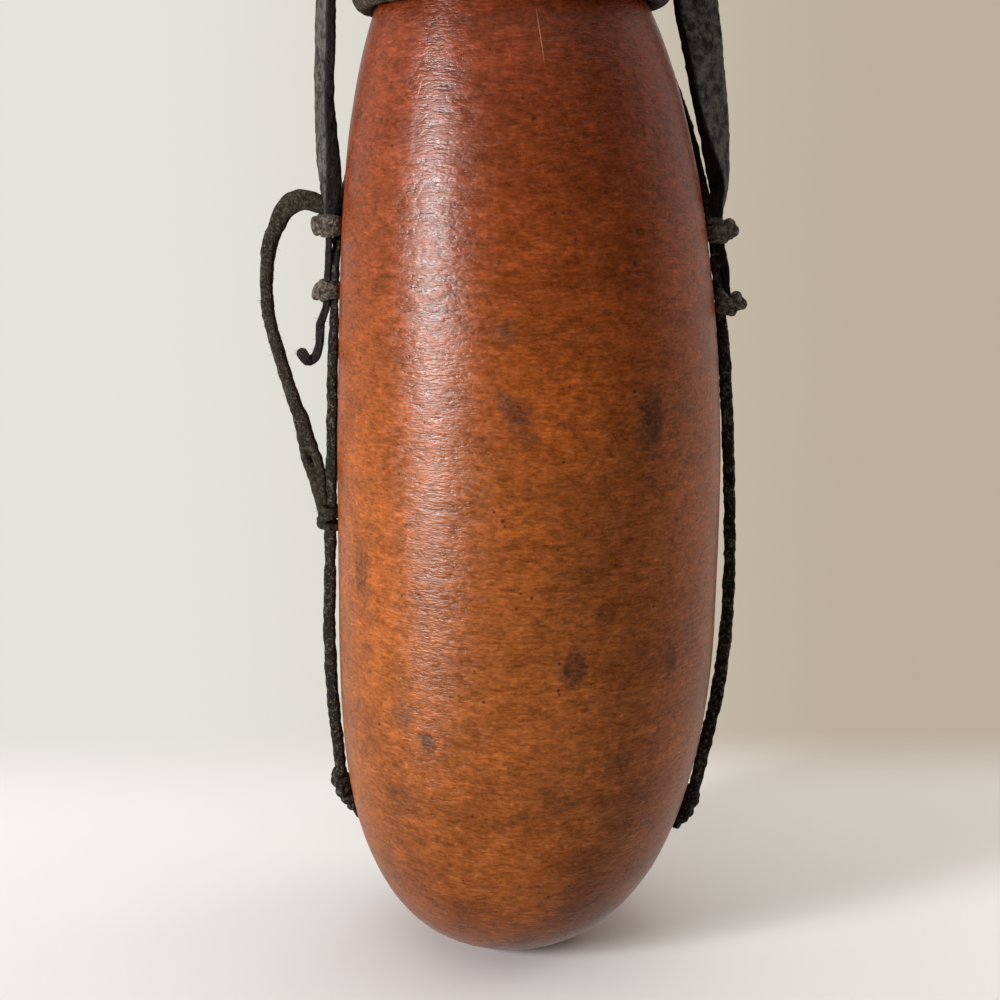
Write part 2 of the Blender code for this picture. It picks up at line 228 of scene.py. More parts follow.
def makeCamera():
    data = bpy.data.cameras.new("camera")
    data.lens = view["lens"]
    data.sensor_width = view["sensor"]
    data.clip_start = 0.01
    camera = bpy.data.objects.new("camera", data)
    camera.location = view["place"]
    camera.rotation_euler = (math.radians(90 - view["down"]), 0, 0)
    bpy.context.scene.collection.objects.link(camera)
    bpy.context.scene.camera = camera


makeCamera()
print("camera placed")

# Dried gourd rind: scraped, oiled and handled until it shines; fine level scrape marks break the gloss
rind = {
    # colour from the foot to the ring
    "stops": ((0.0, "#783b16"), (0.10, "#7e4218"), (0.30, "#814417"), (0.52, "#7f4013"), (0.64, "#7b3a0f"),
              (0.76, "#70310f"), (0.88, "#692c11"), (1.0, "#612811")),
    # mm along and mm tall, detail, roughness of the noise, how much it shades
    "shades": ((2.2, 0.6, 3.0, 0.62, 0.36), (6.0, 1.1, 3.0, 0.6, 0.20), (1.2, 0.9, 3.0, 0.6, 0.20),
               (4.0, 2.6, 4.0, 0.6, 0.24), (22.0, 8.0, 3.0, 0.5, 0.16), (34.0, 40.0, 2.0, 0.5, 0.18)),
    "poreCell": 3.2, "poreColour": "#2e160c", "stainColour": "#2a180b", "scratchColour": "#c98a63",
    "stainWander": 3.4, "stainReach": 9.0,   # mm: size and reach of the wandering of the stains' edges
    "roughness": 0.28, "bumpStrength": 0.8, "bumpDepth": 0.22 * mm,
}
# Dark stains: angle from the front towards +X in degrees, height, half width, half height in mm, strength
stains = [
    (-4, 176, 4.6, 4.6, 0.75), (-7, 179.5, 2.4, 2.0, 0.9), (-1, 170, 3.6, 2.6, 0.6),
    (35, 174, 4.4, 9.0, 0.95), (33, 170, 5.0, 5.0, 0.6), (-56, 127, 4.0, 8.0, 0.75),
    (-54, 120, 2.4, 3.6, 0.6), (12, 105, 3.8, 6.0, 0.8), (14.5, 106.6, 1.3, 1.5, 0.9),
    (-29, 81, 2.8, 4.0, 0.95), (-38, 87.5, 4.6, 4.6, 0.6), (44, 102, 2.6, 7.6, 0.65),
    (-7, 199, 3.6, 4.6, 0.45), (9, 173.5, 2.4, 2.0, 0.6), (20, 120, 3.6, 3.0, 0.5),
    (22, 171, 1.4, 1.2, 0.7), (-5, 75.5, 1.6, 1.4, 0.6), (8, 132, 1.2, 1.2, 0.6),
    (20, 158, 1.2, 1.2, 0.6), (33, 156.5, 2.6, 1.4, 0.6), (10, 65, 6.0, 5.5, 0.4),
    (-40, 60, 7.0, 6.0, 0.45), (28, 75, 5.0, 6.0, 0.4), (120, 150, 4.4, 8.0, 0.75),
    (165, 96, 4.0, 7.0, 0.75), (205, 190, 4.6, 4.2, 0.65), (236, 118, 3.6, 8.0, 0.75),
    (150, 228, 4.6, 4.6, 0.55), (190, 60, 6.0, 5.0, 0.5), (95, 206, 2.6, 4.0, 0.55),
]
# Pale hair scratches: angle, height, half length in mm, lean in degrees
scratches = [(8.2, 275.5, 9.5, -6), (-34, 262, 4.0, 12), (150, 180, 8.0, 20), (200, 120, 6.0, -15)]


def makeRind():
    finish = bpy.data.materials.new("oiledGourdRind")
    finish.use_nodes = True
    tree = finish.node_tree
    shader = tree.nodes["Principled BSDF"]
    place = addNode(tree, "ShaderNodeTexCoord").node.outputs["Object"]

    def cloud(across, tall, detail, rough, shift=(0, 0, 0)):
        scale = (1 / (across * mm), 1 / (across * mm), 1 / (tall * mm))
        spread = addNode(tree, "ShaderNodeMapping", {"Vector": place}, {"Scale": scale, "Location": shift})
        return addNode(tree, "ShaderNodeTexNoise", {"Vector": spread},
                       {"Scale": 1.0, "Detail": detail, "Roughness": rough})

    def sum2(a, b, weight):  # a + b * weight
        return addNode(tree, "ShaderNodeMath", {0: b, 2: a}, {1: weight}, operation="MULTIPLY_ADD")

    clouds = [cloud(across, tall, detail, rough, (3.0 * k, 1.7 * k, 5.1 * k))
              for k, (across, tall, detail, rough, share) in enumerate(rind["shades"])]
    height = addNode(tree, "ShaderNodeSeparateXYZ", {"Vector": place}).node.outputs["Z"]
    level = addNode(tree, "ShaderNodeMapRange", {"Value": height},
                    {"From Min": 0.0, "From Max": 0.30, "To Min": -0.12, "To Max": 0.88})
    level = sum2(level, clouds[5], 0.24)
    ramp = addNode(tree, "ShaderNodeValToRGB", {"Fac": level})
    setStops(ramp.node.color_ramp, rind["stops"])
    shade = None
    for driver, (across, tall, detail, rough, share) in zip(clouds, rind["shades"]):
        part = addNode(tree, "ShaderNodeMapRange", {"Value": driver},
                       {"From Min": 0.30, "From Max": 0.70, "To Min": 1 - share, "To Max": 1 + share},
                       clamp=False)
        shade = part if shade is None else addNode(tree, "ShaderNodeMath", {0: shade, 1: part},
                                                   operation="MULTIPLY")
    colour = addNode(tree, "ShaderNodeVectorMath", {0: ramp, 1: shade}, operation="MULTIPLY")

    def tinted(base, mask, hexColour):
        mix = addNode(tree, "ShaderNodeMix", {0: mask, 6: base}, {7: linear(hexColour)}, data_type="RGBA")
        return mix.node.outputs[2]

    pores = addNode(tree, "ShaderNodeTexVoronoi", {"Vector": place},
                    {"Scale": 1 / (rind["poreCell"] * mm), "Randomness": 1.0})
    poreReach = addNode(tree, "ShaderNodeMapRange", {"Value": cloud(9.0, 9.0, 2.0, 0.5, (2, 9, 9))},
                        {"From Min": 0.50, "From Max": 0.72, "To Min": 0.0, "To Max": 0.19})
    poreMask = addNode(tree, "ShaderNodeMath", {0: pores, 1: poreReach}, operation="LESS_THAN")
    poreMask = addNode(tree, "ShaderNodeMath", {0: poreMask}, {1: 0.75}, operation="MULTIPLY")
    colour = tinted(colour, poreMask, rind["poreColour"])

    wander = addNode(tree, "ShaderNodeTexNoise", {"Vector": place},
                     {"Scale": 1 / (rind["stainWander"] * mm), "Detail": 3.0, "Roughness": 0.6})
    wander = wander.node.outputs["Color"]
    wander = addNode(tree, "ShaderNodeVectorMath", {0: wander}, {1: (0.5, 0.5, 0.5)}, operation="SUBTRACT")
    wandered = addNode(tree, "ShaderNodeVectorMath", {0: wander, 2: place},
                       {1: [rind["stainReach"] * mm] * 3}, operation="MULTIPLY_ADD")

    def spotted(source, angle, tall, halfWide, halfTall, lean=0):
        return addNode(tree, "ShaderNodeMapping", {"Vector": source},
                       {"Location": onSkin(angle - 90, tall * mm, 0),
                        "Rotation": (0, math.radians(lean), math.radians(angle)),
                        "Scale": (halfWide * mm, 8 * mm, halfTall * mm)}, vector_type="TEXTURE")

    def nearest(masks):
        best = masks[0]
        for mask in masks[1:]:
            best = addNode(tree, "ShaderNodeMath", {0: best, 1: mask}, operation="MAXIMUM")
        return best

    masks = []
    for angle, tall, halfWide, halfTall, strength in stains:
        stain = spotted(wandered, angle, tall, halfWide, halfTall)
        away = addNode(tree, "ShaderNodeVectorMath", {0: stain}, operation="LENGTH").node.outputs["Value"]
        masks.append(addNode(tree, "ShaderNodeMapRange", {"Value": away},
                             {"From Min": 1.25, "From Max": 0.55, "To Min": 0.0, "To Max": strength},
                             interpolation_type="SMOOTHSTEP"))
    specks = addNode(tree, "ShaderNodeMapRange", {"Value": cloud(1.1, 1.0, 4.0, 0.72, (4, 4, 6))},
                     {"From Min": 0.45, "From Max": 0.55, "To Min": 0.36, "To Max": 0.86},
                     interpolation_type="SMOOTHSTEP")
    stained = addNode(tree, "ShaderNodeMath", {0: nearest(masks), 1: specks}, operation="MULTIPLY")
    colour = tinted(colour, stained, rind["stainColour"])
    marks = []
    for angle, tall, halfTall, lean in scratches:
        scratch = spotted(place, angle, tall, 0.16, halfTall, lean)
        away = addNode(tree, "ShaderNodeVectorMath", {0: scratch}, operation="LENGTH").node.outputs["Value"]
        marks.append(addNode(tree, "ShaderNodeMapRange", {"Value": away},
                             {"From Min": 1.0, "From Max": 0.5, "To Min": 0.0, "To Max": 0.6}))
    colour = tinted(colour, nearest(marks), rind["scratchColour"])
    tree.links.new(colour, shader.inputs["Base Color"])

    gloss = addNode(tree, "ShaderNodeMapRange", {"Value": clouds[3]},
                    {"From Min": 0.3, "From Max": 0.72, "To Min": rind["roughness"] - 0.06,
                     "To Max": rind["roughness"] + 0.12})
    gloss = sum2(gloss, stained, 0.25)
    tree.links.new(gloss, shader.inputs["Roughness"])
    relief = sum2(clouds[0], clouds[1], 1.0)
    relief = sum2(relief, clouds[2], 0.3)
    relief = sum2(relief, clouds[3], 1.6)
    relief = sum2(relief, poreMask, -0.4)
    bump = addNode(tree, "ShaderNodeBump", {"Height": relief},
                   {"Strength": rind["bumpStrength"], "Distance": rind["bumpDepth"]})
    tree.links.new(bump, shader.inputs["Normal"])
    shader.inputs["Specular IOR Level"].default_value = 0.36
    return finish


# Bare rind inside and at the cut lip: pale, dry and fibrous
def makeInside():
    finish = bpy.data.materials.new("dryGourdInside")
    finish.use_nodes = True
    tree = finish.node_tree
    shader = tree.nodes["Principled BSDF"]
    place = addNode(tree, "ShaderNodeTexCoord").node.outputs["Object"]
    fibre = addNode(tree, "ShaderNodeMapping", {"Vector": place},
                    {"Scale": (1 / (1.2 * mm), 1 / (1.2 * mm), 1 / (6 * mm))})
    fibre = addNode(tree, "ShaderNodeTexNoise", {"Vector": fibre}, {"Scale": 1.0, "Detail": 4.0})
    ramp = addNode(tree, "ShaderNodeValToRGB", {"Fac": fibre})
    setStops(ramp.node.color_ramp, ((0.3, "#6f4a2b"), (0.5, "#8f6740"), (0.72, "#a9824f")))
    tree.links.new(ramp, shader.inputs["Base Color"])
    shader.inputs["Roughness"].default_value = 0.82
    bump = addNode(tree, "ShaderNodeBump", {"Height": fibre}, {"Strength": 0.6, "Distance": 0.3 * mm})
    tree.links.new(bump, shader.inputs["Normal"])
    return finish


# Hide: black-brown leather, greyed where it is worn, coarse and fibrous
def makeHide(name, dark, mid, grey, greyShare, patch, roughness, flatStrap=False):
    finish = bpy.data.materials.new(name)
    finish.use_nodes = True
    tree = finish.node_tree
    shader = tree.nodes["Principled BSDF"]
    place = addNode(tree, "ShaderNodeTexCoord").node.outputs["Object"]

    def cloud(size, detail, rough=0.6):
        return addNode(tree, "ShaderNodeTexNoise", {"Vector": place},
                       {"Scale": 1 / (size * mm), "Detail": detail, "Roughness": rough})

    broad, fine, worn = cloud(7.0, 3.0), cloud(0.6, 3.0, 0.7), cloud(patch, 4.0, 0.65)
    ramp = addNode(tree, "ShaderNodeValToRGB", {"Fac": broad})
    setStops(ramp.node.color_ramp, ((0.36, dark), (0.66, mid)))
    amount = addNode(tree, "ShaderNodeMapRange", {"Value": worn},
                     {"From Min": 0.60 - 0.22 * greyShare, "From Max": 0.72 - 0.14 * greyShare,
                      "To Min": 0.0, "To Max": 0.9})
    # partly the hide's own unworn cut edge, partly painted shade: the edges turn away from the light
    if flatStrap:  # its cut edges stay black
        across = addNode(tree, "ShaderNodeAttribute", attribute_name="across").node.outputs["Fac"]
        across = addNode(tree, "ShaderNodeMath", {0: across}, operation="ABSOLUTE")
        face = addNode(tree, "ShaderNodeMapRange", {"Value": across},
                       {"From Min": 0.96, "From Max": 0.90, "To Min": 0.0, "To Max": 1.0})
        amount = addNode(tree, "ShaderNodeMath", {0: amount, 1: face}, operation="MULTIPLY")
    colour = addNode(tree, "ShaderNodeMix", {0: amount, 6: ramp}, {7: linear(grey)},
                     data_type="RGBA").node.outputs[2]
    speck = addNode(tree, "ShaderNodeMapRange", {"Value": fine},
                    {"From Min": 0.30, "From Max": 0.70, "To Min": 0.45, "To Max": 1.55})
    colour = addNode(tree, "ShaderNodeVectorMath", {0: colour, 1: speck}, operation="MULTIPLY")
    tree.links.new(colour, shader.inputs["Base Color"])
    shader.inputs["Roughness"].default_value = roughness
    shader.inputs["Specular IOR Level"].default_value = 0.28
    relief = addNode(tree, "ShaderNodeMath", {0: worn, 2: fine}, {1: 1.8}, operation="MULTIPLY_ADD")
    bump = addNode(tree, "ShaderNodeBump", {"Height": relief}, {"Strength": 1.0, "Distance": 0.5 * mm})
    tree.links.new(bump, shader.inputs["Normal"])
    return finish


rindFinish = makeRind()
insideFinish = makeInside()
# Hides: dark, middle and worn colour, how much of it is worn, size of the worn patches in mm, roughness
thongFinish = makeHide("greasedThongHide", "#0f0b07", "#20180f", "#5a5144", 0.42, 1.2, 0.60)
knotFinish = makeHide("rubbedKnotHide", "#231d17", "#3a3027", "#6c6155", 0.9, 1.4, 0.72)
ringFinish = makeHide("rolledRingHide", "#241d17", "#372d24", "#5f5548", 0.70, 1.1, 0.80)
strapFinish = makeHide("rawhideStrap", "#0f0b08", "#1d1814", "#524f48", 0.95, 2.6, 0.58, flatStrap=True)
looseFinish = makeHide("hairyLoopHide", "#1a140e", "#2c251b", "#51483a", 0.55, 0.9, 0.80)
print("finishes made")


def makeGourd():
    g = gourd
    low = [g["bellyHeight"] * (1 - math.cos(math.pi / 2 * k / g["lowSteps"])) for k in range(g["lowSteps"])]
    high = [g["bellyHeight"] + g["outerStep"] * k for k in range(g["outerSteps"])]
    neck = [high[-1] + g["neckStep"] * k for k in range(1, 23)]
    outer = [(skinRadius(z), z) for z in low + high + neck if z < g["mouthHeight"] - 2 * g["lipRound"]]
    top = g["mouthHeight"] - g["lipRound"]
    edge = skinRadius(top)
    inner = []
    for z in [height * mm for height in g["innerHeights"]]:
        normal = skinNormal(z)
        inner.append((skinRadius(z) - normal.x * g["wall"], z - normal.y * g["wall"]))
    lip = []
    for k in range(7):
        turn = math.radians(180 * k / 6)
        middle = (edge + inner[0][0]) / 2
        lip.append((middle + (edge - inner[0][0]) / 2 * math.cos(turn),
                    top + g["lipRound"] * math.sin(turn)))
    spotRings = [(skinRadius(0) * k, 0.0) for k in (0.04, 0.3, 0.6, 0.85, 0.97)]
    floorRings = [(inner[-1][0] * k, inner[-1][1]) for k in (0.85, 0.6, 0.3, 0.04)]
    outline = spotRings + outer + lip + inner + floorRings
    shell = longTube(g["sides"], len(outline))
    for vert in shell.data.vertices:
        radius, z = outline[round(vert.co.z)]
        turn = math.atan2(vert.co.y, vert.co.x)
        vert.co = (bow(z) + radius * math.cos(turn), radius * math.sin(turn), z)
    faceOutward(shell)
    applyModifier(shell, "SUBSURF", levels=1, render_levels=1)
    normals = [vert.normal.copy() for vert in shell.data.vertices]
    for vert in shell.data.vertices:
        spot = vert.co.copy()
        if spot.z < g["flatSpot"]:
            continue
        lift = sum(height * mm * ripple(spot, size * mm, size) for size, height in g["lumps"])
        vert.co = spot + normals[vert.index] * lift * min(1.0, (spot.z - g["flatSpot"]) / g["flatBlend"])
    settle(shell, "gourd_shell_fine", [rindFinish, insideFinish], ["gourd_body"])
    for face in shell.data.polygons:
        middle = face.center
        fromAxis = middle - Vector((bow(middle.z), 0, middle.z))
        inward = fromAxis.length < skinRadius(middle.z) - 3.2 * mm and middle.z > 2 * mm
        face.material_index = 1 if inward or middle.z > g["mouthHeight"] - 0.7 * mm else 0


makeGourd()
print("gourd shell made")

# The ring on the shoulder: a soft roll of hide, bound by a strip that shows as shallow slanting grooves
ring = {
    "height": 290.4 * mm, "radius": 42.5 * mm, "tilt": -1.0, "wide": 3.5 * mm, "tall": 4.0 * mm,
    "turns": 30, "groove": 0.32 * mm, "joint": 190.0,
    "lumps": ((7.0, 0.28), (2.0, 0.20), (0.9, 0.09)),
}


def makeRing():
    clearSelection()
    bpy.ops.mesh.primitive_torus_add(major_radius=ring["radius"], minor_radius=ring["wide"],
                                     major_segments=520, minor_segments=36)
    roll = bpy.context.object
    lean = Matrix.Rotation(math.radians(ring["tilt"]), 4, "Y")
    for vert in roll.data.vertices:
        around = math.atan2(vert.co.y, vert.co.x)
        middle = Vector((math.cos(around), math.sin(around), 0)) * ring["radius"]
        off = vert.co - middle
        off.z *= ring["tall"] / ring["wide"]
        over = math.atan2(off.z, off.dot(middle.normalized()))
        wander = 0.5 * noise.noise(Vector((around * 6, over * 0.4, 2.0)))
        phase = (ring["turns"] * around / math.tau - over / math.tau + wander) % 1.0
        cut = math.exp(-(min(phase, 1 - phase) / 0.085) ** 2)
        fromJoint = (math.degrees(around) - ring["joint"] + 180) % 360 - 180
        seam = math.exp(-((fromJoint + 2.0 * math.sin(over)) / 0.9) ** 2)
        bulge = math.exp(-((fromJoint + 9.0) / 6.0) ** 2)
        spot = middle + off
        lift = sum(height * mm * ripple(spot, size * mm, size) for size, height in ring["lumps"])
        lift += 0.25 * mm * bulge - ring["groove"] * cut - 1.1 * mm * seam
        vert.co = lean @ (spot + off.normalized() * lift) + Vector((bow(ring["height"]), 0, ring["height"]))
    settle(roll, "neck_ring_fine", [ringFinish], ["neck_ring"])


makeRing()
print("shoulder ring made")

# Side thongs: height, angle round to the back in degrees, gap to the skin, thong radius in mm. Their
# lowest rows run on under the foot knots
thongRows = {
    "left": [(41.0, 2, 0.7, 1.3), (46.5, 1, 0.9, 1.7), (52.0, 0, 1.3, 1.7), (62, 0, 1.0, 1.8),
             (76, 0, 1.1, 1.9), (98, 0, 1.4, 1.85), (122, 0, 1.2, 1.8), (140, 0, 0.8, 1.75),
             (164, 0, 0.4, 1.7), (186, 0, 0.2, 1.6), (200, 0, 0.2, 1.35), (214, 0, 0.2, 1.3),
             (230, 5, 0.2, 1.3), (245, 15, 0.3, 1.1), (262, 18, 0.4, 1.1), (276, 20, 0.4, 1.1),
             (283.8, 21, 0.5, 1.1)],
    "right": [(34.5, 2, 0.9, 1.5), (39, 1, 1.6, 1.8), (43.5, 0, 2.2, 1.8), (54, 0, 1.7, 1.9),
              (66, 0, 1.5, 1.95), (82, 0, 2.2, 2.0), (100, 0, 2.7, 1.9), (118, 0, 2.7, 1.8),
              (140, 0, 1.9, 1.75), (164, 0, 1.0, 1.8), (186, 0, 0.6, 1.8), (198, 0, 0.5, 1.65),
              (207, 0, 0.5, 1.5), (216, 0, 0.5, 1.4), (230, 0, 0.4, 1.3), (243, 3, 0.4, 1.1),
              (256, 7, 0.4, 1.1), (268, 12, 0.4, 1.1), (279, 17, 0.4, 1.1), (285.4, 19, 0.5, 1.1)],
}
thong = {"step": 0.8 * mm, "sides": 18, "squareness": 3.4, "rough": ((7.0, 0.30), (2.2, 0.34), (0.9, 0.20))}


def thongStations(side, step):
    control = []
    for height, back, gap, radius in thongRows[side]:
        angle = back if side == "right" else 180 - back
        control.append((*onSkin(angle, height * mm, (gap + radius) * mm), radius * mm))
    return [(Vector(row[:3]), Vector((0, 1, 0)), row[3], row[3]) for row in smoothRows(control, step)]


def makeThongs():
    for side, seed in (("left", 11.0), ("right", 23.0)):
        piece = sweptHide(thongStations(side, thong["step"]), thong["sides"], thong["squareness"],
                          thong["rough"], seed)
        settle(piece, side + "_side_thong_fine", [thongFinish], [side + "_side_thong"])


makeThongs()

# The sling round the lower back: angle from +X round to the back, height
sling = {
    "rows": [(180, 48.5), (178, 43), (172, 36), (158, 29), (135, 20.5), (110, 15), (90, 13.5),
             (70, 14.5), (45, 19), (22, 26), (8, 32), (2, 36.5), (0, 40.2)],
    "halfWide": 3.0 * mm, "halfThick": 1.35 * mm, "gap": 0.4 * mm,
    "endHalfWide": 2.2 * mm, "endOff": 2.1 * mm,
}


def makeSling():
    control = []
    last = len(sling["rows"]) - 1
    for k, (angle, height) in enumerate(sling["rows"]):
        wide = sling["endHalfWide"] if k in (0, last) else sling["halfWide"]
        off = sling["endOff"] if k in (0, last) else sling["halfThick"] + sling["gap"]
        place = onSkin(angle, height * mm, off)
        facing = onSkin(angle, height * mm, off + mm) - place
        control.append((*place, *facing, wide))
    rows = smoothRows(control, 1.0 * mm)
    stations = []
    for i, row in enumerate(rows):
        along = Vector(rows[min(i + 1, len(rows) - 1)][:3]) - Vector(rows[max(i - 1, 0)][:3])
        stations.append((Vector(row[:3]), along.cross(Vector(row[3:6])), row[6], sling["halfThick"]))
    piece = sweptHide(stations, 20, 3.6, ((6.0, 0.22), (1.8, 0.18), (0.8, 0.1)), 31.0)
    settle(piece, "base_sling_fine", [thongFinish], ["base_sling"])


makeSling()
print("side thongs and sling made")

# The carrying strap, with its tails through the knots and the curl at the left
strap = {
    "tail": (1.8 * mm, 1.05 * mm, 0),   # half breadth, half thickness, turn in degrees
    "halfWide": 7.1 * mm, "halfThick": 1.75 * mm,
    "halfSpan": 52.0 * mm, "spring": 306.0 * mm, "top": 402.0 * mm, "leftTurn": 14, "rightTurn": 20,
    "leftTail": (201, 206, 212, 219, 225), "rightTail": (225, 219, 212, 206, 201.5),
    # the curl and the tail to it: X, Y, height, half breadth, half thickness, mm
    "curlRoute": [
        (-63.5, -2.3, 188.3, 0.7, 0.6), (-63.0, -2.2, 187.4, 1.7, 1.5), (-61.3, -1.8, 184.9, 1.9, 1.7),
        (-58.9, -1.2, 185.6, 1.8, 1.5), (-57.6, -0.5, 189.6, 1.8, 1.3), (-57.2, 0.0, 195.0, 1.8, 1.2),
    ],
    # legs: height, X, half breadth, half thickness in mm, turn in degrees
    "leftLeg": [
        (230.5, -53.4, 2.6, 2.1, 12), (236.5, -53.1, 3.6, 2.7, 20), (242.0, -53.5, 4.6, 2.6, 23),
        (250, -54.1, 5.8, 2.1, 22), (262, -54.4, 6.6, 1.8, 20), (275, -54.0, 7.0, 1.75, 20),
        (288, -53.4, 7.1, 1.75, 19.5),
    ],
    "rightLeg": [
        (230.0, 61.6, 2.4, 2.0, 10), (235.5, 62.1, 3.2, 2.5, 18), (240, 61.8, 4.2, 2.7, 24),
        (244, 61.3, 4.9, 2.5, 30), (250, 60.5, 6.1, 2.1, 37), (261, 58.6, 6.9, 1.75, 45),
        (271, 56.9, 7.1, 1.75, 50), (280, 55.4, 7.1, 1.75, 56), (288, 54.0, 7.1, 1.75, 63),
        (297, 53.3, 7.1, 1.75, 46),
    ],
    "rough": ((14.0, 0.30), (4.0, 0.24), (1.6, 0.22), (0.8, 0.12)),
}


def tailPlace(stations, height):
    near = min(stations, key=lambda station: abs(station[0].z - height))
    side = 1 if near[0].x > 0 else -1
    return near[0].x + side * (near[3] + strap["tail"][1])


def strapStations(step):
    coarse = {side: thongStations(side, 5 * mm) for side in thongRows}
    control = [(x * mm, y * mm, z * mm, wide * mm, thick * mm, 0)
               for x, y, z, wide, thick in strap["curlRoute"]]
    for height in strap["leftTail"]:
        control.append((tailPlace(coarse["left"], height * mm), 0, height * mm, *strap["tail"]))
    for height, x, wide, thick, turn in strap["leftLeg"]:
        control.append((x * mm, 0, height * mm, wide * mm, thick * mm, turn))
    for degrees in range(0, 181, 15):
        turn = math.radians(180 - degrees)
        twist = strap["leftTurn"] if degrees < 30 else max(0, strap["rightTurn"] * (degrees - 150) / 30)
        control.append((strap["halfSpan"] * math.cos(turn), 0,
                        strap["spring"] + (strap["top"] - strap["spring"]) * math.sin(turn),
                        strap["halfWide"], strap["halfThick"], twist))
    for height, x, wide, thick, turn in reversed(strap["rightLeg"]):
        control.append((x * mm, 0, height * mm, wide * mm, thick * mm, turn))
    for height in strap["rightTail"]:
        control.append((tailPlace(coarse["right"], height * mm), 0, height * mm, *strap["tail"]))
    rows = smoothRows(control, step)
    stations = []
    for i, row in enumerate(rows):
        along = Vector(rows[min(i + 1, len(rows) - 1)][:3]) - Vector(rows[max(i - 1, 0)][:3])
        breadth = Matrix.Rotation(math.radians(row[5]), 3, along.normalized()) @ Vector((0, 1, 0))
        stations.append((Vector(row[:3]), breadth, row[3], row[4]))
    return stations


def makeStrap():
    piece = sweptHide(strapStations(0.9 * mm), 40, 7.0, strap["rough"], 47.0)
    settle(piece, "carry_strap_fine", [strapFinish], ["carry_strap"])


makeStrap()
print("carrying strap made")

# The free loop at the left, a strip that is broad at its root and where its end is slit. X, height,
# half breadth and half thickness, mm
loop = {
    "route": [(-53.6, 229.4, 2.0, 1.6), (-56.4, 231.0, 2.7, 1.8), (-60.0, 232.3, 3.0, 1.9),
              (-63.8, 232.0, 3.2, 1.9), (-67.0, 229.6, 3.0, 1.8), (-69.8, 224.6, 2.5, 1.8),
              (-71.8, 219.0, 2.2, 1.7), (-73.0, 211.0, 2.0, 1.7), (-73.1, 203.0, 1.9, 1.7),
              (-72.0, 194.4, 1.9, 1.7), (-70.1, 187.0, 1.9, 1.7), (-68.0, 179.6, 2.0, 1.7),
              (-66.0, 172.6, 2.1, 1.7), (-63.7, 166.2, 2.3, 1.7), (-62.4, 160.0, 2.7, 1.7),
              (-60.8, 153.8, 3.1, 1.7), (-59.5, 149.0, 3.0, 1.7), (-58.4, 143.0, 2.3, 1.8),
              (-57.6, 138.0, 2.0, 1.8), (-57.2, 133.5, 1.7, 1.5)],
    "slit": (-60.9, 154.0, 0.9, 3.4, 1.9),   # X, height, half width, half height, depth in mm
    "wrap": (-55.9, 136.5, 3.0, 1.15),       # the slit end round the side thong: X, height, radii
    "wrapTurns": ((18, 2.2), (-14, -0.6), (10, -3.0)),   # lean of each turn in degrees, rise in mm
}


def makeLoop():
    rows = smoothRows([(x * mm, 0.0, z * mm, wide * mm, thick * mm) for x, z, wide, thick in loop["route"]],
                      0.8 * mm)
    stations = []
    for i, row in enumerate(rows):
        along = Vector(rows[min(i + 1, len(rows) - 1)][:3]) - Vector(rows[max(i - 1, 0)][:3])
        stations.append((Vector(row[:3]), along.cross(Vector((0, 1, 0))), row[3], row[4]))
    piece = sweptHide(stations, 24, 2.8, ((6.0, 0.3), (2.0, 0.3), (0.9, 0.16)), 59.0)
    x, z, wide, tall, deep = [value * mm for value in loop["slit"]]
    for vert in piece.data.vertices:
        lean = (vert.co.x - x) - 0.32 * (z - vert.co.z)
        away = math.hypot(lean / wide, (vert.co.z - z) / tall)
        vert.co.y *= 1 - deep / (1.9 * mm) * math.exp(-away ** 2) if away < 2.5 else 1
    settle(piece, "left_loop_fine", [looseFinish], ["left_loop"])
    x, z, major, minor = [value * mm for value in loop["wrap"]]
    clearSelection()
    parts = []
    for lean, rise in loop["wrapTurns"]:
        bpy.ops.mesh.primitive_torus_add(major_radius=major, minor_radius=minor, major_segments=40,
                                         minor_segments=14, location=(x, 0, z + rise * mm),
                                         rotation=(math.radians(lean / 2), math.radians(lean), 0))
        parts.append(bpy.context.object)
    for part in parts:
        part.select_set(True)
    bpy.ops.object.join()
    wrap = bpy.context.object
    pick(wrap)
    bpy.ops.object.transform_apply(location=True, rotation=True, scale=True)
    applyModifier(wrap, "REMESH", mode="VOXEL", voxel_size=0.25 * mm)
    applyModifier(wrap, "SMOOTH", factor=0.5, iterations=2)
    for vert in wrap.data.vertices:
        vert.co += vert.normal * (0.2 * mm * ripple(vert.co, 1.0 * mm)
                                  + 0.2 * mm * ripple(vert.co, 2.6 * mm))
    settle(wrap, "left_loop_slit_end", [looseFinish])


makeLoop()
print("loop made")

# Knots: side, height, shift outward from the strands, kind
knots = {
    "left_knot_upper": (-1, 225.0, 1.3, "boxy"), "left_knot_lower": (-1, 206.0, 0.8, "slanted"),
    "right_knot_upper": (1, 223.4, 1.2, "ball"), "right_knot_lower": (1, 202.3, 0.8, "tied"),
    "left_foot_knot": (-1, 47.6, 0.9, "foot"), "right_foot_knot": (1, 41.2, 1.1, "foot"),
}
# A foot knot leans along the rind, is flattened towards it and is more worn down
footKnot = {"slant": {-1: -22, 1: 27}, "flatness": 0.76, "smoothing": 6}
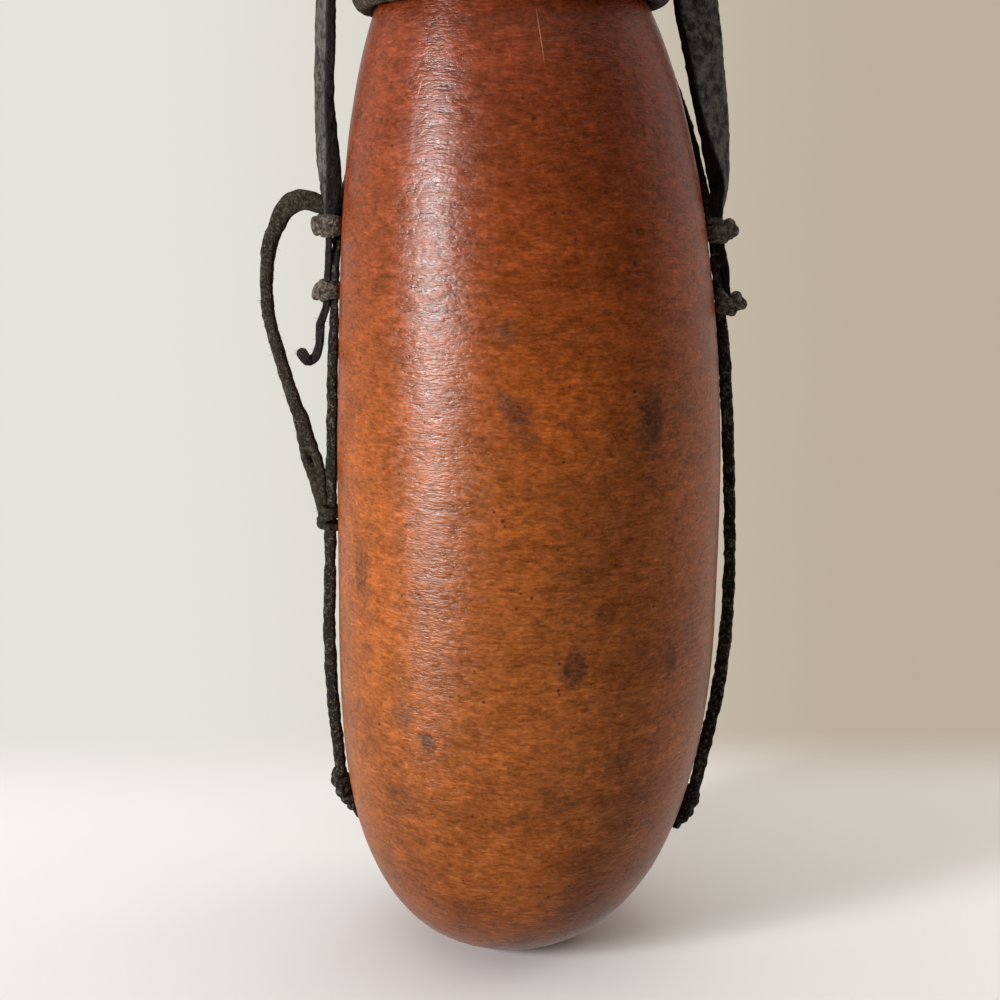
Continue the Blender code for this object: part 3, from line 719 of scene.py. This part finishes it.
# Turns of each kind of knot, in mm: place outward, back and up, ring radius, thong radius, and the way
# the turn's axis leans from upright, towards the outside and towards the back
knotTurns = {
    "boxy": [
        (-0.9, 0, -1.7, 2.5, 1.5, 8, 6), (-0.9, 0, 1.3, 2.5, 1.5, -6, -8),
        (2.2, 0, 0.2, 1.7, 1.6, 84, 4), (3.7, 0.2, -0.2, 1.5, 1.4, 96, -6),
        (0.4, -0.3, 0.0, 1.9, 1.3, 80, 10),
    ],
    "slanted": [
        (-0.9, 0, -1.9, 2.4, 1.4, 10, -8), (-0.9, 0, 1.3, 2.4, 1.4, -12, 8),
        (1.7, -0.2, 0.2, 1.8, 1.5, 60, 12), (2.9, 0.2, -0.6, 1.5, 1.4, 70, -10),
        (0.0, -0.4, 0.2, 2.4, 1.1, 42, 0),
    ],
    "ball": [
        (-1.0, 0, -2.1, 2.7, 1.4, 6, 4), (-1.0, 0, 0.6, 2.8, 1.4, -10, 6),
        (-1.4, -0.2, 2.6, 2.2, 1.2, 14, -6), (3.1, 0, 0.5, 1.5, 1.7, 86, 20),
        (3.7, 0, 0.3, 1.2, 1.4, 40, -30),
    ],
    "tied": [
        (-0.9, 0, -2.2, 2.4, 1.4, 16, 4), (-0.8, 0, 0.4, 2.4, 1.4, 24, 6),
        (-0.6, -0.6, 1.2, 2.8, 1.1, 48, 4), (2.9, 0, 0.2, 1.5, 1.6, 80, 14),
        (3.7, 0, -0.2, 1.1, 1.4, 50, -20),
    ],
    "foot": [
        (-0.1, 0, 5.2, 1.9, 1.7, 6, 4), (0.3, 0, 2.6, 2.4, 1.8, -9, 6), (0.3, 0, -0.5, 2.6, 1.9, 12, -6),
        (-0.1, 0, -3.6, 2.4, 1.7, -7, 4), (-0.6, 0, -6.4, 1.9, 1.4, 8, 0),
        (0.8, -0.6, 0.6, 2.8, 1.3, 62, 4),
    ],
}


def makeKnots():
    coarse = {side: thongStations(side, 5 * mm) for side in thongRows}
    for number, (name, (side, height, shift, kind)) in enumerate(knots.items()):
        slant = 0
        if kind == "foot":
            middle = onSkin(90 - 90 * side, height * mm, (1.9 + shift) * mm)
            slant = footKnot["slant"][side]
        else:
            strands = tailPlace(coarse["left" if side < 0 else "right"], height * mm)
            middle = Vector((strands - side * strap["tail"][1] + side * shift * mm, 0, height * mm))
        clearSelection()
        parts = []
        for out, back, up, major, minor, leanOut, leanBack in knotTurns[kind]:
            bpy.ops.mesh.primitive_torus_add(
                major_radius=major * mm, minor_radius=minor * mm, major_segments=36, minor_segments=14,
                location=(side * out * mm, back * mm, up * mm),
                rotation=(math.radians(leanBack), math.radians(side * leanOut), 0))
            parts.append(bpy.context.object)
        bpy.ops.mesh.primitive_uv_sphere_add(segments=24, ring_count=16, radius=2.4 * mm)
        parts.append(bpy.context.object)
        for part in parts:
            part.select_set(True)
        bpy.ops.object.join()
        knot = bpy.context.object
        pick(knot)
        bpy.ops.object.transform_apply(location=True, rotation=True, scale=True)
        flat = footKnot["flatness"] if kind == "foot" else 1
        turned = Matrix.Rotation(math.radians(slant), 3, "Y") @ Matrix.Diagonal((flat, 1, 1))
        for vert in knot.data.vertices:
            vert.co = middle + turned @ vert.co
        applyModifier(knot, "REMESH", mode="VOXEL", voxel_size=0.22 * mm)
        applyModifier(knot, "SMOOTH", factor=0.5, iterations=footKnot["smoothing"] if kind == "foot" else 2)
        for vert in knot.data.vertices:
            vert.co += vert.normal * (0.16 * mm * ripple(vert.co, 0.8 * mm, number)
                                      + 0.26 * mm * ripple(vert.co, 2.2 * mm, number))
        settle(knot, name + "_fine", [thongFinish if kind == "foot" else knotFinish], [name])


makeKnots()
print("knots made")

# Loose fibres of the torn hide edges: part, its lowest and highest fibre in mm, how many
fibres = {
    "rootRadius": 0.07 * mm, "tipRadius": 0.015 * mm, "shortest": 0.5 * mm, "longest": 2.2 * mm, "seed": 8,
    "groups": (("strap", 227, 300, 300), ("loop", 130, 240, 240), ("curl", 184, 200, 40)),
}


def makeFibres():
    rng = np.random.default_rng(fibres["seed"])
    strapRoute = strapStations(2.0 * mm)
    loopRoute = [(Vector((x * mm, 0, z * mm)), None, wide * mm, thick * mm)
                 for x, z, wide, thick in smoothRows(loop["route"], 2.0)]
    clearSelection()
    bpy.ops.mesh.primitive_cone_add(vertices=3, radius1=fibres["rootRadius"], radius2=fibres["tipRadius"],
                                    depth=1.0, location=(0, 0, 0))
    piece = bpy.context.object
    tuft = bmesh.new()   # one fibre, copied to each place at its own length
    for kind, low, high, count in fibres["groups"]:
        route = loopRoute if kind == "loop" else strapRoute
        route = [row for row in route if low * mm < row[0].z < high * mm]
        for _ in range(count):
            place, breadth, wide, thick = route[rng.integers(len(route))]
            spread = rng.uniform(0, math.tau)
            out = Vector((math.cos(spread), math.sin(spread), rng.uniform(-0.5, 0.3)))
            if breadth is None or kind == "curl":
                root = place + out.normalized() * min(wide, thick) * 0.9
            else:
                side = 1 if rng.random() < 0.5 else -1
                root = place + breadth * side * wide * 0.93
                out = breadth * side + out * 0.7
            length = rng.uniform(fibres["shortest"], fibres["longest"])
            direction = out.normalized()
            turn = direction.to_track_quat("Z", "Y").to_matrix().to_4x4()
            first = len(tuft.verts)
            tuft.from_mesh(piece.data)
            tuft.verts.ensure_lookup_table()
            bmesh.ops.transform(tuft, verts=tuft.verts[first:],
                                matrix=Matrix.Translation(root + direction * length * 0.45) @ turn
                                @ Matrix.Diagonal((1, 1, length, 1)))
    tuft.to_mesh(piece.data)
    tuft.free()
    settle(piece, "loose_fibres", [looseFinish])


makeFibres()
print("fibres made")

# Stage: a plain pale floor, a tall soft window at the left, a weak one at the right. Far behind the
# gourd the floor glows softly like a pale wall in daylight, lighter at the left.
studio = {
    "floorColours": ("#e7e6e5", "#eae9e8"), "floorSize": 120.0,
    "farLeft": "#e4e3dc", "farRight": "#bdaf9a",
    "keyPlace": (-0.93, -0.60, 0.35), "keyAim": (0, 0, 0.31), "keyWide": 0.17, "keyTall": 0.46,
    "keyPower": 18.6, "keyColour": "#fdfdff",
    "fillPlace": (1.05, 0.32, 0.45), "fillAim": (0, 0, 0.15), "fillWide": 0.7, "fillTall": 0.9,
    "fillPower": 5.6, "fillColour": "#fff1e2", "skyColour": "#fbf7f2",
    "front": 0.03, "above": 1.0, "behind": 0.50,
}


# From the left colour to the right one, by the direction from a point at the given depth before the gourd:
# painted daylight on a far pale wall, lighter at the left
def sidewaysColour(tree, direction, depth):
    parts = addNode(tree, "ShaderNodeSeparateXYZ", {"Vector": direction})
    ahead = addNode(tree, "ShaderNodeMath", {0: parts.node.outputs["Y"]}, {1: depth}, operation="ADD")
    ahead = addNode(tree, "ShaderNodeMath", {0: ahead}, {1: 0.05}, operation="MAXIMUM")
    slope = addNode(tree, "ShaderNodeMath", {0: parts.node.outputs["X"], 1: ahead}, operation="DIVIDE")
    share = addNode(tree, "ShaderNodeMapRange", {"Value": slope},
                    {"From Min": -0.24, "From Max": 0.26, "To Min": 0.0, "To Max": 1.0},
                    interpolation_type="SMOOTHSTEP")
    mix = addNode(tree, "ShaderNodeMix", {0: share},
                  {6: linear(studio["farLeft"]), 7: linear(studio["farRight"])}, data_type="RGBA")
    return mix.node.outputs[2]


# Painted table, rolled on and matt: an even pale ground that takes soft shadows. Far behind the gourd it
# glows instead, painted daylight of a pale wall, lighter at the left
def makeStage():
    clearSelection()
    bpy.ops.mesh.primitive_plane_add(size=studio["floorSize"], location=(0, 0, -0.00002))
    floor = bpy.context.object
    floor.name = "floor"
    finish = bpy.data.materials.new("paleTableAndGlowingWall")
    finish.use_nodes = True
    tree = finish.node_tree
    shader = tree.nodes["Principled BSDF"]
    place = addNode(tree, "ShaderNodeTexCoord").node.outputs["Object"]
    cloud = addNode(tree, "ShaderNodeTexNoise", {"Vector": place}, {"Scale": 9.0, "Detail": 2.0})
    ramp = addNode(tree, "ShaderNodeValToRGB", {"Fac": cloud})
    setStops(ramp.node.color_ramp, tuple(zip((0.35, 0.65), studio["floorColours"])))
    tree.links.new(ramp, shader.inputs["Base Color"])
    shader.inputs["Roughness"].default_value = 0.6
    far = sidewaysColour(tree, place, 0.455)
    # painted light: the far floor glows like a daylit wall instead of being lit
    glow = addNode(tree, "ShaderNodeEmission", {"Color": far}, {"Strength": 1.0})
    back = addNode(tree, "ShaderNodeSeparateXYZ", {"Vector": place}).node.outputs["Y"]
    share = addNode(tree, "ShaderNodeMapRange", {"Value": back},
                    {"From Min": 0.10, "From Max": 0.18, "To Min": 0.0, "To Max": 1.0},
                    interpolation_type="SMOOTHSTEP")
    mixed = addNode(tree, "ShaderNodeMixShader", {0: share, 1: shader.outputs[0], 2: glow})
    tree.links.new(mixed, tree.nodes["Material Output"].inputs["Surface"])
    floor.data.materials.append(finish)
    floor.visible_glossy = False   # keeps the bright floor out of the rind's gloss


def addLight(name, place, target, wide, tall, power, colour):
    data = bpy.data.lights.new(name, "AREA")
    data.shape = "RECTANGLE"
    data.size, data.size_y = wide, tall
    data.energy = power
    data.color = linear(colour)[:3]
    lamp = bpy.data.objects.new(name, data)
    lamp.location = place
    lamp.rotation_euler = (Vector(target) - Vector(place)).to_track_quat("-Z", "Y").to_euler()
    bpy.context.scene.collection.objects.link(lamp)
    return lamp


def makeLights():
    addLight("window", studio["keyPlace"], studio["keyAim"], studio["keyWide"], studio["keyTall"],
             studio["keyPower"], studio["keyColour"])
    fill = addLight("fill", studio["fillPlace"], studio["fillAim"], studio["fillWide"], studio["fillTall"],
                    studio["fillPower"], studio["fillColour"])
    fill.visible_glossy = False   # it stands for light off pale walls, which leaves no highlight
    world = bpy.data.worlds.new("room")
    bpy.context.scene.world = world
    world.use_nodes = True
    tree = world.node_tree
    tree.nodes.clear()
    ways = addNode(tree, "ShaderNodeTexCoord").node.outputs["Generated"]
    parts = addNode(tree, "ShaderNodeSeparateXYZ", {"Vector": ways})
    above = addNode(tree, "ShaderNodeMapRange", {"Value": parts.node.outputs["Z"]},
                    {"From Min": 0.62, "From Max": 0.92, "To Min": 0.0, "To Max": studio["above"]},
                    interpolation_type="SMOOTHSTEP")
    behind = addNode(tree, "ShaderNodeMapRange", {"Value": parts.node.outputs["Y"]},
                     {"From Min": -0.32, "From Max": 0.48,
                      "To Min": studio["front"], "To Max": studio["behind"]},
                     interpolation_type="SMOOTHSTEP")
    strength = addNode(tree, "ShaderNodeMath", {0: above, 1: behind}, operation="ADD")
    # what the camera sees behind: painted daylight on a pale wall, lighter at the left; it lights nothing
    far = sidewaysColour(tree, ways, 0.0)
    seen = addNode(tree, "ShaderNodeBackground", {"Color": far}, {"Strength": 1.0})
    lit = addNode(tree, "ShaderNodeBackground", {"Strength": strength},
                  {"Color": linear(studio["skyColour"])})
    rays = addNode(tree, "ShaderNodeLightPath")
    mixed = addNode(tree, "ShaderNodeMixShader", {0: rays, 1: lit, 2: seen})
    output = tree.nodes.new("ShaderNodeOutputWorld")
    tree.links.new(mixed, output.inputs["Surface"])


makeStage()
makeLights()
bpy.context.scene.view_settings.view_transform = "Standard"
print("stage lit")

clearSelection()
